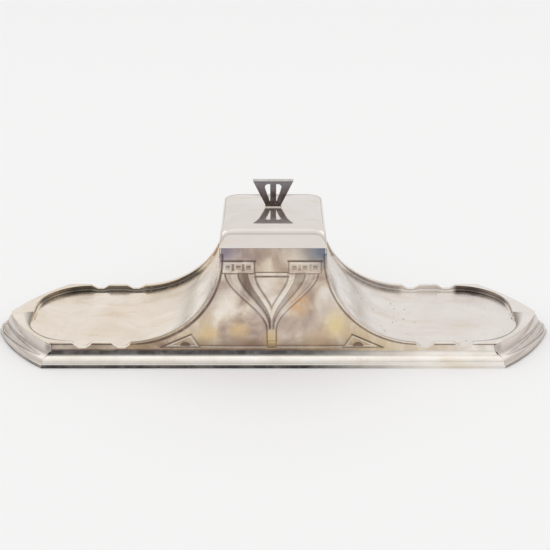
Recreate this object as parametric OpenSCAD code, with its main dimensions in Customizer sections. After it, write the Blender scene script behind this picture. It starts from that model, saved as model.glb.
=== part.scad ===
// Desk inkstand: a moulded plinth with pointed ends, two sunken pen trays,
// and a block in the middle that holds an ink pot under a hinged lid.
// Millimetres. Origin at the centre of the underside.
// X runs along the stand, -Y is the front, +Z is up.

/* [Body] */
// Half of the overall length, centre to tip
half_len = 170; // [150:1:200]
// Half of the overall depth at the foot
half_dep = 48; // [42:0.5:56]
// Half length of the straight front and back edges
half_straight = 136; // [115:1:160]
// Bow of each of the four end edges
end_bow = 3.8; // [1:0.1:8]
// Distance from the end edge to the deck edge
end_band = 7.7; // [5:0.1:12]
// Height of the deck and of the tray rims
rim_z = 14.2; // [12:0.1:20]
// Half depth of the panels at their foot
panel_foot = 43; // [38:0.1:50]
// Height of the foot of the panels
foot_z = 9.2; // [8.5:0.1:12]
// Half depth of the block at its top
block_dep = 31.5; // [24:0.1:36]
// Half width of the block at its top
block_wid = 31; // [24:0.1:36]
// Height of the top of the block
block_z = 69.3; // [55:0.1:85]
// Thickness of the silver plated sheet
sheet = 1.2; // [0.8:0.1:2]

/* [Trays] */
// Half length at which the rim turns flat
sweep_end = 86; // [76:1:100]
// Height at which the rim sweep starts on the block
sweep_z = 64; // [50:0.5:68]
// Height at which the tray floor meets the block side
floor_top_z = 62; // [48:0.5:66]
// Height of the tray floor
floor_z = 9; // [7:0.1:12]
// Half length at the outer end of the well
well_end = 148; // [135:0.5:155]
// Corner radius of the well in plan
well_corner = 30; // [15:0.5:38]
// Inner pen rest distance from the centre
notch_in = 89; // [80:0.5:95]
// Outer pen rest distance from the centre
notch_out = 112; // [104:0.5:120]
// Width of a pen rest at the rim
notch_top = 12; // [8:0.5:16]
// Width of a pen rest at its bottom
notch_bottom = 5; // [3:0.5:8]
// Depth of a pen rest
notch_dep = 3; // [1.5:0.1:4.5]

/* [Relief] */
// Height of the stamped relief above the front panel
relief = 0.5; // [0.2:0.1:1]
// Outer span of the square groups from the middle
group_out = 28.3; // [24:0.1:30]
// Inner span of the square groups from the middle
group_in = 10.3; // [8:0.1:14]
// Height of the bottom of the square groups
group_z = 55.1; // [50:0.1:60]
// Height of the square groups
group_tall = 6.2; // [4:0.1:8]
// Half width of the stem
stem = 2.3; // [1.5:0.1:4]
// Height at which the ribbons join the stem
stem_z = 22; // [18:0.5:30]

/* [Lid] */
// Height of the lid crown above the top of the block
lid_tall = 14.3; // [10:0.1:20]
// Gap between the lid rim and the block
seam = 0.1; // [0.05:0.05:0.4]
// Depth of the locating rim below the lid
bezel_dep = 3; // [2:0.1:4]
// Side clearance of the locating rim
bezel_gap = 0.5; // [0.3:0.1:1]
// Width of the finial at its top
finial_top = 24; // [18:0.5:30]
// Width of the finial at its foot
finial_bottom = 8.7; // [6:0.1:12]
// Height of the finial above its foot plate
finial_tall = 15.8; // [12:0.1:20]
// Thickness of the finial
finial_thick = 3.4; // [2:0.1:5]
// Thickness of the foot plate below the finial
foot_plate = 0.6; // [0.4:0.1:2]
// Diameter of the finial stud
stud_dia = 3; // [2:0.1:4]

/* [Hinge] */
// Distance of the hinge pin from the middle
hinge_y = 34; // [32:0.1:38]
// Diameter of the knuckles
knuckle_dia = 4; // [3:0.1:6]
// Diameter of the hinge pin
pin_dia = 1.6; // [1:0.1:2.5]
// Length of all five knuckles together
hinge_len = 40; // [25:1:50]
// Gap between knuckles
knuckle_gap = 0.2; // [0.1:0.05:0.5]
// Running clearance on radius
run = 0.05; // [0.02:0.01:0.1]
// Thickness of the hinge leaves
leaf = 0.8; // [0.5:0.1:1.5]

/* [Pot] */
// Outside diameter of the glass pot
pot_dia = 46; // [36:0.5:48]
// Diameter of the pot collar
collar_dia = 51; // [48:0.5:54]
// Thickness of the pot collar
collar_tall = 2.5; // [1.5:0.1:3]
// Overall height of the pot
pot_tall = 42; // [30:0.5:50]
// Wall thickness of the pot
pot_wall = 3.5; // [2:0.1:6]
// Gap between the pot and the hole in the frame on radius
pot_gap = 0.7; // [0.3:0.1:1.5]
// Depth of the frame below the top of the block
frame_drop = 4; // [3.6:0.1:8]

/* [Underside] */
// Thickness of the base plate
base_thick = 1; // [0.6:0.1:2]
// Thickness of the baize
baize = 0.8; // [0.4:0.1:1.5]
// Gap between the base plate and the plinth
base_gap = 0.1; // [0.05:0.05:0.5]
// Lug position along the stand
lug_x = 108; // [95:1:125]
// Lug position from the middle
lug_y = 26; // [15:1:32]
// Diameter of the lugs
lug_dia = 8; // [6:0.5:12]
// Diameter of the base screws
screw_dia = 3; // [2:0.1:4]
// Diameter of the countersunk heads
screw_head = 5.6; // [4.5:0.1:8]

/* [Hidden] */
$fn = 96;
steps = 14;
big = 400;

// Lean of the panels, and the half depth of their outer face at a height
lean = (panel_foot - block_dep) / (block_z - foot_z);
function face(z) = panel_foot - lean * (z - foot_z);
// A height clear above the block
above = block_z + 10.7;

// Centre and radius of the bowed end edges
chord_x = half_len - half_straight;
chord = sqrt(chord_x * chord_x + half_dep * half_dep);
end_r = chord * chord / (8 * end_bow) + end_bow / 2;
end_cx = (half_straight + half_len) / 2 - (end_r - end_bow) * half_dep / chord;
end_cy = (end_r - end_bow) * chord_x / chord - half_dep / 2;
deck_r = end_r - end_band;
corner_a = atan2(-half_dep - end_cy, half_straight - end_cx);
tip_a = asin(-end_cy / (deck_r - sheet));

// Corner of the deck and the mitre direction in plan
corner_x = end_cx + sqrt(pow(deck_r, 2) - pow(end_cy + panel_foot, 2));
mitre = (half_straight - corner_x) / (half_dep - panel_foot);
function mitre_x(y) = half_straight + mitre * (y - half_dep);

// Lid side profile, half width reduced from the rim, and height above the rim
lid_z = block_z + seam;
lid_in = [0, 0.2, 0.45, 0.9, 1.6, 3, 6.2, 14, 25];
lid_up = [0, 2.5, 5, 7.4, 9.3, 10.9, 12.1, 13.5, 14.2];
lid_corner = [0, 0.5, 1.15, 2.2, 3.6, 6.6, 12, 24, 34];
function up(i) = lid_up[i] * (lid_tall - seam) / 14.2;

// Finial and hinge heights
crown_z = block_z + lid_tall;
finial_z = crown_z + foot_plate;
frame_z = block_z - frame_drop;
knuckle = (hinge_len - 4 * knuckle_gap) / 5;
step_x = knuckle + knuckle_gap;
base_z = baize + base_thick;

silver = [0.82, 0.80, 0.78];
tarnish = [0.36, 0.34, 0.36];
inner_metal = [0.70, 0.62, 0.42];
glass = [0.75, 0.88, 0.90, 0.5];
green = [0.10, 0.30, 0.18];

// Points of a quarter of an ellipse with its centre at cx, cz
function quarter(cx, cz, rx, rz, a0, a1) =
    [for (i = [0:steps]) let (a = a0 + (a1 - a0) * i / steps) [cx + rx * cos(a), cz + rz * sin(a)]];
function mirror_x(p) = [for (i = [len(p) - 1:-1:0]) [-p[i][0], p[i][1]]];
function smooth(t) = t * t * (3 - 2 * t);

// Draws a plan shape in X and Z as a solid running through Y
module through_y(y0, y1) {
    translate([0, y1, 0])
        rotate([90, 0, 0])
            linear_extrude(y1 - y0)
                children();
}

// Draws a shape in Y and Z as a solid running through X
module through_x(x0, x1) {
    translate([x0, 0, 0])
        rotate([90, 0, 90])
            linear_extrude(x1 - x0)
                children();
}

// Space between two layers below the outer face of the front panel
module front_layer(t0, t1) {
    through_x(-half_len, half_len)
        polygon([[-face(0) + t0, 0], [-face(above) + t0, above], [-face(above) + t1, above], [-face(0) + t1, 0]]);
}

// Space between the inner faces of both panels
module between_panels() {
    through_x(-half_len, half_len)
        polygon([[-face(0) + sheet, 0], [face(0) - sheet, 0], [face(above) - sheet, above], [-face(above) + sheet, above]]);
}

// Plan of the part of the front that belongs to the straight pieces
module side_plan(y_in) {
    polygon([[-mitre_x(54), -54], [mitre_x(54), -54], [mitre_x(y_in), -y_in], [-mitre_x(y_in), -y_in]]);
}

// Plan with bowed and pointed ends, inset all round
module lens_plan(inset, dep) {
    intersection() {
        for (s = [-1, 1])
            intersection() {
                translate([s * end_cx, end_cy]) circle(end_r - inset, $fn = 240);
                translate([s * end_cx, -end_cy]) circle(end_r - inset, $fn = 240);
                square([2 * half_len, 2 * dep], center = true);
            }
        square([2 * half_len, 2 * dep], center = true);
    }
}

// Plan of one pointed end
module end_plan(inset, dep) {
    intersection() {
        translate([end_cx, end_cy]) circle(end_r - inset);
        translate([end_cx, -end_cy]) circle(end_r - inset);
        translate([0, -dep]) square([half_len, 2 * dep]);
    }
}

// Whole footprint, inset all round
module foot_plan(inset) {
    end_plan(inset, half_dep - inset);
    mirror([1, 0]) end_plan(inset, half_dep - inset);
}

// Rim outline of a panel in X and Z, without the pen rests
function rim_right() = concat(
    [[block_wid, block_z], [block_wid, sweep_z]],
    quarter(sweep_end, sweep_z, sweep_end - block_wid, sweep_z - rim_z, 180, 270));

module notch(x) {
    w = notch_top / 2;
    b = notch_bottom / 2;
    m = (w + b) / 2;
    z = rim_z - notch_dep;
    polygon([[x - w - 1, rim_z + 1], [x - w, rim_z], [x - m, rim_z - notch_dep * 0.62], [x - b, z],
        [x + b, z], [x + m, rim_z - notch_dep * 0.62], [x + w, rim_z], [x + w + 1, rim_z + 1]]);
}

module notches() {
    for (s = [-1, 1])
        for (x = [notch_in, notch_out])
            notch(s * x);
}

module panel_outline() {
    difference() {
        polygon(concat([[-half_len, foot_z], [half_len, foot_z], [half_len, rim_z]],
            [for (i = [steps + 2:-1:0]) rim_right()[i]],
            [for (p = rim_right()) [-p[0], p[1]]],
            [[-half_len, rim_z]]));
        notches();
    }
}

// One stamped ribbon between two curved edges
module ribbon(a0, a1, b0, b1, z0, z1) {
    n = 16;
    polygon(concat(
        [for (i = [0:n]) [a0 + (a1 - a0) * smooth(i / n), z0 + (z1 - z0) * i / n]],
        [for (i = [n:-1:0]) [b0 + (b1 - b0) * smooth(i / n), z0 + (z1 - z0) * i / n]]));
}

module relief_half() {
    w = (group_out - group_in) / 3;
    frame = 0.8;
    for (i = [0:2])
        translate([group_in + i * w, group_z])
            difference() {
                square([w, group_tall]);
                translate([frame, frame]) square([w - 2 * frame, group_tall - 2 * frame]);
            }
    ribbon(group_out - 1.8, stem, group_out - 8.2, stem - 0.9, group_z + 0.1, stem_z);
    ribbon(group_in + 2.8, 0.9, group_in, 0, group_z + 0.1, stem_z + 3);
    translate([0, stem_z - 7]) square([stem, 10]);
    translate([0, group_z - 2.9]) square([group_in + 0.4, 1.2]);
    translate([0, group_z - 0.6]) square([group_in + 0.4, 0.8]);
    translate([0, foot_z + 2.2]) square([stem - 0.1, 3.8]);
    polygon([[42.6, foot_z + 2.3], [62.8, foot_z + 2.3], [47, rim_z + 4.1]]);
}

module front_relief() {
    intersection() {
        through_y(-60, 0) {
            relief_half();
            mirror([1, 0]) relief_half();
        }
        front_layer(-relief, 0.2);
    }
}

// A straight length of plinth moulding along the front
module straight_moulding() {
    t = sheet;
    outer = [[half_dep, 0], [half_dep, 2.1], [half_dep - 0.5, 2.3], [half_dep - 0.6, 3.4], [half_dep - 0.9, 4.6],
        [half_dep - 1.5, 5.7], [half_dep - 2.3, 6.5], [half_dep - 2.8, 6.8], [half_dep - 3, 7],
        [half_dep - 3.6, 7.5], [half_dep - 4.4, 8.3], [panel_foot + 0.1, 8.8], [panel_foot, foot_z]];
    inner = [[panel_foot - t, foot_z], [face(7.8) - t, 7.8], [max(half_dep - 4.1, face(6.6)) - t, 6.6], [half_dep - 3.2 - t, 5.6],
        [half_dep - 2.2 - t, 4.7], [half_dep - 1.2 - t, 3.4], [half_dep - t, 2], [half_dep - t, 0]];
    intersection() {
        mirror([0, 1, 0])
            through_x(-half_len, half_len)
                polygon(concat(outer, inner));
        linear_extrude(rim_z)
            side_plan(20);
    }
}

// One quarter of the end moulding, swept round the bowed edge
module end_quarter() {
    r = end_r;
    t = sheet;
    top_z = rim_z - sheet;
    outer = [[r, 0], [r, 2.1], [r - 0.5, 2.3], [r - 0.9, 3.6], [r - 1.8, 5.2], [r - 3, 6.6], [r - 4.4, 7.7],
        [r - 5, 8.1], [r - 5.3, 9.2], [r - 5.9, 10.6], [r - 6.8, 11.9], [r - end_band, 12.6], [r - end_band, top_z]];
    inner = [[r - end_band - t, top_z], [r - end_band - t, 11.4], [r - 6.6 - t, 10], [r - 5.9 - t, 8.2],
        [r - 4.6 - t, 6.6], [r - 3 - t, 5.4], [r - 1.6 - t, 3.8], [r - t, 1.9], [r - t, 0]];
    intersection() {
        translate([end_cx, end_cy, 0])
            rotate([0, 0, corner_a - 12])
                rotate_extrude(angle = tip_a - corner_a + 24, $fn = 240)
                    polygon(concat(outer, inner));
        linear_extrude(rim_z)
            polygon([[mitre_x(half_dep + 6), -half_dep - 6], [half_len + 5, -half_dep - 6], [half_len + 5, 0],
                [mitre_x(20), 0], [mitre_x(20), -20]]);
    }
}

module end_moulding() {
    end_quarter();
    mirror([0, 1, 0]) end_quarter();
}

// Plan of a well, grown outwards by a wall
module well_plan(g) {
    w = face(rim_z) - 2 * sheet;
    cx = well_end - well_corner;
    cy = w - well_corner;
    translate([sweep_end - 1, -w - g]) square([cx - sweep_end + 1, 2 * (w + g)]);
    translate([cx - 1, -cy]) square([well_corner + g + 1, 2 * cy]);
    for (s = [-1, 1])
        translate([cx, s * cy]) circle(well_corner + g);
}

// Sheet from the flat floor up to the top of the block side
module sweep_ribbon() {
    rx = sweep_end - block_wid;
    rz = floor_top_z - floor_z;
    polygon(concat(
        [[sweep_end + 4, floor_z]],
        quarter(sweep_end, floor_top_z, rx, rz, 270, 180),
        [[block_wid, block_z], [block_wid - sheet, block_z]],
        quarter(sweep_end, floor_top_z, rx + sheet, rz + sheet, 180, 270),
        [[sweep_end + 4, floor_z - sheet]]));
}

// Side cheek of a tray between its floor and its rim
module cheek_outline() {
    rx = sweep_end - block_wid;
    rz = floor_top_z - floor_z;
    x1 = well_end - well_corner;
    difference() {
        polygon(concat([[x1, rim_z]], [for (i = [steps + 2:-1:1]) rim_right()[i]],
            quarter(sweep_end, floor_top_z, rx + sheet / 2, rz + sheet / 2, 180, 270),
            [[x1, floor_z - sheet / 2]]));
        notches();
    }
}

module tray() {
    difference() {
        union() {
            translate([0, 0, rim_z - sheet])
                linear_extrude(sheet)
                    difference() {
                        intersection() {
                            end_plan(end_band, panel_foot);
                            translate([well_end - well_corner, -60]) square([60, 120]);
                        }
                        side_plan(face(rim_z) - sheet);
                        mirror([0, 1]) side_plan(face(rim_z) - sheet);
                        well_plan(0);
                    }
            translate([0, 0, floor_z - sheet])
                linear_extrude(rim_z - floor_z + sheet)
                    difference() {
                        intersection() {
                            well_plan(sheet);
                            translate([well_end - well_corner - 2, -60]) square([60, 120]);
                        }
                        well_plan(0);
                    }
            translate([0, 0, floor_z - sheet])
                linear_extrude(sheet)
                    well_plan(sheet);
            intersection() {
                through_y(-50, 50) sweep_ribbon();
                between_panels();
            }
            for (s = [0, 1])
                mirror([0, s, 0])
                    intersection() {
                        through_y(-60, 0) cheek_outline();
                        front_layer(sheet, 2 * sheet);
                    }
        }
        through_y(-60, 60) notches();
    }
}

module panel() {
    intersection() {
        through_y(-60, 0) panel_outline();
        front_layer(0, sheet);
        linear_extrude(100) side_plan(20);
    }
}

// Solid lid form, moved in from the outside by a wall
module lid_form(t) {
    n = len(lid_in) - 1;
    z0 = t > 0 ? lid_z - 1 : lid_z;
    wx = block_wid - t;
    wy = block_dep - t;
    wd = (block_wid + block_dep) / sqrt(2) - 0.02 - t;
    function side(w, d) = concat([[w, z0]], [for (i = [0:n]) [w - d[i], lid_z + up(i) - (i > 1 ? t : 0) - (i == 1 ? t / 2 : 0)]]);
    function both(p) = concat(p, mirror_x(p));
    intersection() {
        through_y(-60, 60) polygon(both(side(wx, lid_in)));
        through_x(-60, 60) polygon(both(side(wy, lid_in)));
        rotate([0, 0, 45]) through_y(-60, 60) polygon(both(side(wd, lid_corner)));
        rotate([0, 0, -45]) through_y(-60, 60) polygon(both(side(wd, lid_corner)));
    }
}

module front_moulding() {
    color(silver) straight_moulding();
}

module back_moulding() {
    color(silver) mirror([0, 1, 0]) straight_moulding();
}

module left_end_moulding() {
    color(silver) mirror([1, 0, 0]) end_moulding();
}

module right_end_moulding() {
    color(silver) end_moulding();
}

module left_tray() {
    color(silver) mirror([1, 0, 0]) tray();
}

module right_tray() {
    color(silver) tray();
}

module front_panel() {
    color(silver) {
        panel();
        front_relief();
    }
}

module back_panel() {
    color(silver) mirror([0, 1, 0]) panel();
}

// Square plate with a round hole that carries the pot
module top_frame() {
    color(inner_metal)
        intersection() {
            translate([0, 0, frame_z - sheet])
                linear_extrude(sheet)
                    difference() {
                        square([2 * (block_wid - sheet), 80], center = true);
                        circle(pot_dia / 2 + pot_gap);
                    }
            between_panels();
        }
}

module ink_pot() {
    r = pot_dia / 2;
    z1 = frame_z + collar_tall;
    z0 = z1 - pot_tall;
    color(glass)
        rotate_extrude()
            polygon([[0, z0 + 0.8], [r - 6, z0], [r - 2, z0], [r, z0 + 2], [r, frame_z], [collar_dia / 2, frame_z],
                [collar_dia / 2, z1 - 0.5], [collar_dia / 2 - 0.5, z1], [r - pot_wall, z1], [r - pot_wall, z0 + pot_wall + 3],
                [r - pot_wall - 3, z0 + pot_wall], [0, z0 + pot_wall]]);
}

module pin_hole(x0, x1) {
    translate([x0, hinge_y, block_z])
        rotate([0, 90, 0])
            cylinder(h = x1 - x0, r = pin_dia / 2 + run);
}

module barrel(x0, x1) {
    translate([x0, hinge_y, block_z])
        rotate([0, 90, 0])
            cylinder(h = x1 - x0, d = knuckle_dia);
}

// Leaf on the back of the block with three knuckles
module hinge_body_leaf() {
    x0 = -hinge_len / 2;
    low = block_z - 10;
    mid = block_z - 3;
    color(silver)
        difference() {
            union() {
                through_x(x0, -x0)
                    polygon([[face(low), low], [face(low) + leaf, low], [face(mid) + leaf, mid], [face(mid), mid]]);
                for (i = [0, 2, 4]) {
                    barrel(x0 + i * step_x, x0 + i * step_x + knuckle);
                    through_x(x0 + i * step_x, x0 + i * step_x + knuckle)
                        polygon([[face(mid - 1), mid - 1], [face(mid - 1) + leaf, mid - 1], [hinge_y + 1.5, block_z - 1],
                            [hinge_y - 0.8, block_z - 0.2], [face(block_z - 0.9), block_z - 0.9]]);
                }
            }
            pin_hole(x0 - 1, -x0 + 1);
        }
}

// Leaf on the back of the lid with two knuckles
module hinge_lid_leaf() {
    x0 = -hinge_len / 2;
    z1 = lid_z + up(1);
    z2 = lid_z + up(2);
    y1 = block_dep - lid_in[1];
    y2 = block_dep - lid_in[2];
    color(silver)
        difference() {
            union() {
                through_x(x0, -x0)
                    polygon([[y1, z1], [y1 + leaf, z1], [y2 + leaf, z2], [y2, z2]]);
                for (i = [1, 3]) {
                    barrel(x0 + i * step_x, x0 + i * step_x + knuckle);
                    through_x(x0 + i * step_x, x0 + i * step_x + knuckle)
                        polygon([[y1, z1], [y1 + leaf, z1 + 0.5], [hinge_y + 1.6, block_z + 0.8], [hinge_y - 0.8, block_z + 0.4],
                            [block_dep, lid_z + 0.4], [block_dep - lid_in[1] * 0.4 / up(1), lid_z + 0.4]]);
                }
            }
            pin_hole(x0 - 1, -x0 + 1);
            lid_form(0);
        }
}

module hinge_pin() {
    h = hinge_len / 2 + 0.1;
    color(inner_metal)
        translate([0, hinge_y, block_z])
            rotate([0, 90, 0]) {
                cylinder(h = 2 * h, d = pin_dia, center = true);
                for (s = [-1, 1])
                    translate([0, 0, s * (h + 0.35)])
                        cylinder(h = 0.7, d = knuckle_dia - 1, center = true);
            }
}

module screw_places() {
    for (sx = [-1, 1])
        for (sy = [-1, 1])
            translate([sx * lug_x, sy * lug_y, 0])
                children();
}

module screw_form(g, top) {
    translate([0, 0, baize])
        cylinder(h = base_thick * 0.9, d1 = screw_head + 2 * g, d2 = screw_dia + 2 * g);
    translate([0, 0, baize])
        cylinder(h = top - baize, d = screw_dia + 2 * g);
}

module base_plate() {
    color(inner_metal)
        difference() {
            translate([0, 0, baize])
                linear_extrude(base_thick)
                    foot_plan(sheet + base_gap);
            screw_places() screw_form(run, base_z + 1);
            screw_places() translate([0, 0, baize - 1]) cylinder(h = 1.001, d = screw_head + 2 * run);
        }
}

module baize_pad() {
    color(green)
        linear_extrude(baize)
            foot_plan(sheet + base_gap);
}

module base_lugs() {
    color(inner_metal)
        screw_places()
            difference() {
                translate([0, 0, base_z])
                    cylinder(h = floor_z - sheet - base_z, d = lug_dia);
                cylinder(h = floor_z - sheet - 0.8, d = screw_dia + 2 * run);
            }
}

module base_screws() {
    color(inner_metal)
        screw_places() screw_form(0, floor_z - sheet - 1.2);
}

module lid_shell() {
    color(silver)
        difference() {
            lid_form(0);
            lid_form(sheet);
            translate([0, 0, crown_z - 5]) cylinder(h = 10, d = stud_dia + 2 * run);
        }
}

// Locating rim soldered inside the lid
module lid_bezel() {
    wx = block_wid - sheet - bezel_gap;
    wy = block_dep - sheet - bezel_gap;
    color(silver)
        difference() {
            union() {
                translate([-wx, -wy, lid_z - bezel_dep])
                    cube([2 * wx, 2 * wy, bezel_dep]);
                intersection() {
                    lid_form(sheet);
                    translate([-wx, -wy, lid_z - 0.01])
                        cube([2 * wx, 2 * wy, 1.41]);
                }
                intersection() {
                    lid_form(sheet);
                    translate([-60, -60, lid_z + 0.4])
                        cube([120, 120, 1]);
                }
            }
            translate([-wx + 1, -wy + 1, lid_z - bezel_dep - 1])
                cube([2 * wx - 2, 2 * wy - 2, bezel_dep + 4]);
        }
}

// Trapezoid knob with two openings beside a middle bar
module finial() {
    t = finial_top / 2;
    b = finial_bottom / 2;
    h = finial_tall;
    bar = 1.75;
    function edge(z) = b + (t - b) * z / h;
    color(tarnish) {
        difference() {
            through_y(-finial_thick / 2, finial_thick / 2)
                translate([0, finial_z])
                    difference() {
                        polygon([[-b, 0], [b, 0], [t, h], [-t, h]]);
                        for (s = [0, 1])
                            mirror([s, 0])
                                polygon([[bar, h - 2.2], [bar, 2.4], [bar + 0.3, 1.9], [edge(3.4) - 3, 3.4], [edge(h - 5) - 4.7, h - 5],
                                    [edge(h - 5) - 4.5, h - 3.4], [edge(h - 5) - 5, h - 2.4], [edge(h - 5) - 5.8, h - 2.2]]);
                    }
        }
        translate([0, 0, crown_z - sheet - 3])
            cylinder(h = sheet + foot_plate + 3.5, d = stud_dia);
    }
}

module finial_foot() {
    color(silver)
        translate([0, 0, crown_z])
            difference() {
                translate([-finial_bottom / 2 - 0.6, -finial_thick / 2 - 0.6, 0])
                    cube([finial_bottom + 1.2, finial_thick + 1.2, foot_plate]);
                translate([0, 0, -1]) cylinder(h = 4, d = stud_dia + 2 * run);
            }
}

module finial_nut() {
    color(inner_metal)
        translate([0, 0, crown_z - sheet - 2.4])
            difference() {
                cylinder(h = 2.4, d = 6.4, $fn = 6);
                translate([0, 0, -1]) cylinder(h = 5, d = stud_dia + 2 * run);
            }
}

front_moulding();
back_moulding();
left_end_moulding();
right_end_moulding();
left_tray();
right_tray();
front_panel();
back_panel();
top_frame();
ink_pot();
hinge_body_leaf();
hinge_pin();
base_plate();
baize_pad();
base_lugs();
base_screws();
lid_shell();
lid_bezel();
hinge_lid_leaf();
finial();
finial_foot();
finial_nut();
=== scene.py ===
import math

import bmesh
import bpy
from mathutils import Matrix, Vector


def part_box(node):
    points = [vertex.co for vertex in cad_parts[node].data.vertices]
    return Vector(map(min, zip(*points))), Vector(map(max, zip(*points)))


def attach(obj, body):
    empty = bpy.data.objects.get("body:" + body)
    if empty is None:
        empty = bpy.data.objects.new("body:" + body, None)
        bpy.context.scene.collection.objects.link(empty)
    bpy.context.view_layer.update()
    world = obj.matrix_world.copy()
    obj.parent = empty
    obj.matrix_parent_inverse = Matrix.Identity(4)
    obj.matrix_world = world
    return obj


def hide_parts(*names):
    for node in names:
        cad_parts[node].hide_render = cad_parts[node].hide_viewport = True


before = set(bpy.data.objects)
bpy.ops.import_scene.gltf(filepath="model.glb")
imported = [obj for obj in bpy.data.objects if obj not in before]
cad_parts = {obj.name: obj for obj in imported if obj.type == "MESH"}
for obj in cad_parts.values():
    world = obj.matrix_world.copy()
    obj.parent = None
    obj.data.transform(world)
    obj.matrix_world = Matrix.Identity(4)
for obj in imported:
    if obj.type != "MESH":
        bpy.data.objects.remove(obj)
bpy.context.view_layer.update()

# Sizes of the inkstand, in metres. Those that the frame can tell are measured on it.
MM = 0.001
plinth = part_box("front_moulding")
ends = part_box("right_end_moulding")
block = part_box("front_panel")
lid_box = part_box("lid_shell")
knob_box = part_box("finial")

HALF_LEN = ends[1][0]
HALF_DEP = ends[1][1]
HALF_STRAIGHT = plinth[1][0]
END_BOW = 3.8 * MM      # how far each edge of an end bows out past a straight line
END_BAND = 7.7 * MM     # width of an end's moulding
RIM_Z = 14.2 * MM
FLOOR_Z = 9.0 * MM
FOOT_Z = block[0][2]
PANEL_FOOT = 43.0 * MM
BLOCK_Z = block[1][2]
BLOCK_WID = lid_box[1][0]
BLOCK_DEP = lid_box[1][1]
SHEET = 1.2 * MM
TRAY_WALL, MOULDING_WALL, PANEL_WALL, LID_WALL = 0.7 * MM, 0.8 * MM, 0.9 * MM, 1.0 * MM
SWEEP_X = 86 * MM       # where the sweep's rim meets the flat rim
SWEEP_Z = 64 * MM       # where the sweep's rim turns upright
FLOOR_TOP_Z = 62 * MM
WELL_END = 148 * MM
WELL_CORNER = 30 * MM
LEAN = (PANEL_FOOT - BLOCK_DEP) / (BLOCK_Z - FOOT_Z)


def face(z):
    """Half depth of the panels' outer face at a height."""
    return PANEL_FOOT - LEAN * (z - FOOT_Z)


# The bowed ends: chord, radius and centre of the arcs
chord_x = HALF_LEN - HALF_STRAIGHT
chord = math.hypot(chord_x, HALF_DEP)
END_R = chord * chord / (8 * END_BOW) + END_BOW / 2
END_CX = (HALF_STRAIGHT + HALF_LEN) / 2 - (END_R - END_BOW) * HALF_DEP / chord
END_CY = (END_R - END_BOW) * chord_x / chord - HALF_DEP / 2
DECK_R = END_R - END_BAND
CORNER_X = END_CX + math.sqrt(DECK_R ** 2 - (END_CY + PANEL_FOOT) ** 2)
MITRE = (HALF_STRAIGHT - CORNER_X) / (HALF_DEP - PANEL_FOOT)


# ---------------- helpers

def nothing_selected():
    if bpy.context.mode != "OBJECT":
        bpy.ops.object.mode_set(mode="OBJECT")
    bpy.ops.object.select_all(action="DESELECT")


def only(obj):
    nothing_selected()
    obj.select_set(True)
    bpy.context.view_layer.objects.active = obj


def whole(obj, *steps):
    """Runs steps in edit mode on all of a piece, each an operator with its settings."""
    only(obj)
    bpy.ops.object.mode_set(mode="EDIT")
    bpy.ops.mesh.select_all(action="SELECT")
    for step, settings in steps:
        step(**settings)
    bpy.ops.object.mode_set(mode="OBJECT")


def outward(obj):
    whole(obj, (bpy.ops.mesh.normals_make_consistent, {"inside": False}))


def finish_modifier(obj, kind, **settings):
    """Adds a modifier and applies it."""
    only(obj)
    mod = obj.modifiers.new(kind.lower(), kind)
    for key, value in settings.items():
        setattr(mod, key, value)
    bpy.ops.object.modifier_apply(modifier=mod.name)


def pressed_sheet(name, rows, columns, place, weld=True):
    """A grid primitive whose points are set out along a form, like a blank pressed over a die."""
    nothing_selected()
    bpy.ops.mesh.primitive_grid_add(x_subdivisions=columns, y_subdivisions=rows, size=1, location=(0, 0, 0))
    obj = bpy.context.object
    obj.name = name
    obj.data.name = name
    for v in obj.data.vertices:
        j = round((v.co.x + 0.5) * columns)
        i = round((v.co.y + 0.5) * rows)
        v.co = place(i, j)
    if weld:
        whole(obj, (bpy.ops.mesh.remove_doubles, {"threshold": 0.00002}),
              (bpy.ops.mesh.dissolve_degenerate, {"threshold": 0.00001}))
    return obj


def face_out(obj, inside_out):
    """Turns every face over where the piece was found to be inside out."""
    if inside_out:
        whole(obj, (bpy.ops.mesh.flip_normals, {}))


def smooth(obj, angle=40):
    only(obj)
    bpy.ops.object.shade_smooth_by_angle(angle=math.radians(angle))


def mirrored(obj, name, axis):
    """A second hand of a piece, with its own mesh and its faces turned back out."""
    only(obj)
    bpy.ops.object.duplicate()
    twin = bpy.context.object
    twin.name = name
    twin.data.name = name
    flip = {"constraint_axis": (axis == "X", axis == "Y", False), "center_override": (0, 0, 0)}
    whole(twin, (bpy.ops.transform.mirror, flip), (bpy.ops.mesh.flip_normals, {}))
    return twin


def joined(name, *objs):
    only(objs[0])
    for o in objs[1:]:
        o.select_set(True)
    bpy.ops.object.join()
    objs[0].name = name
    objs[0].data.name = name
    return objs[0]


def first_point(name, at):
    """A small square primitive closed up to one point, from which a line is drawn."""
    nothing_selected()
    bpy.ops.mesh.primitive_plane_add(size=MM, location=at)
    obj = bpy.context.object
    obj.name = name
    obj.data.name = name
    bpy.ops.object.mode_set(mode="EDIT")
    bpy.ops.mesh.select_all(action="SELECT")
    bpy.ops.mesh.merge(type="CENTER")
    return obj


def draw_on(points):
    """Extrudes the end point from place to place."""
    for a, b in zip(points, points[1:]):
        bpy.ops.mesh.extrude_region_move(TRANSFORM_OT_translate={"value": tuple(q - p for p, q in zip(a, b))})


def pull(move):
    """Extrudes everything drawn so far by a straight move."""
    bpy.ops.mesh.select_all(action="SELECT")
    bpy.ops.mesh.extrude_region_move(TRANSFORM_OT_translate={"value": move})


def cut(at, normal):
    """Cuts the form with a plane and throws away the side that the normal points to."""
    bpy.ops.mesh.select_all(action="SELECT")
    bpy.ops.mesh.bisect(plane_co=at, plane_no=Vector(normal).normalized(), clear_outer=True, threshold=0.000001)


def place_applied(obj):
    bpy.ops.object.mode_set(mode="OBJECT")
    only(obj)
    bpy.ops.object.transform_apply(location=True, rotation=True, scale=True)
    return obj


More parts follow.
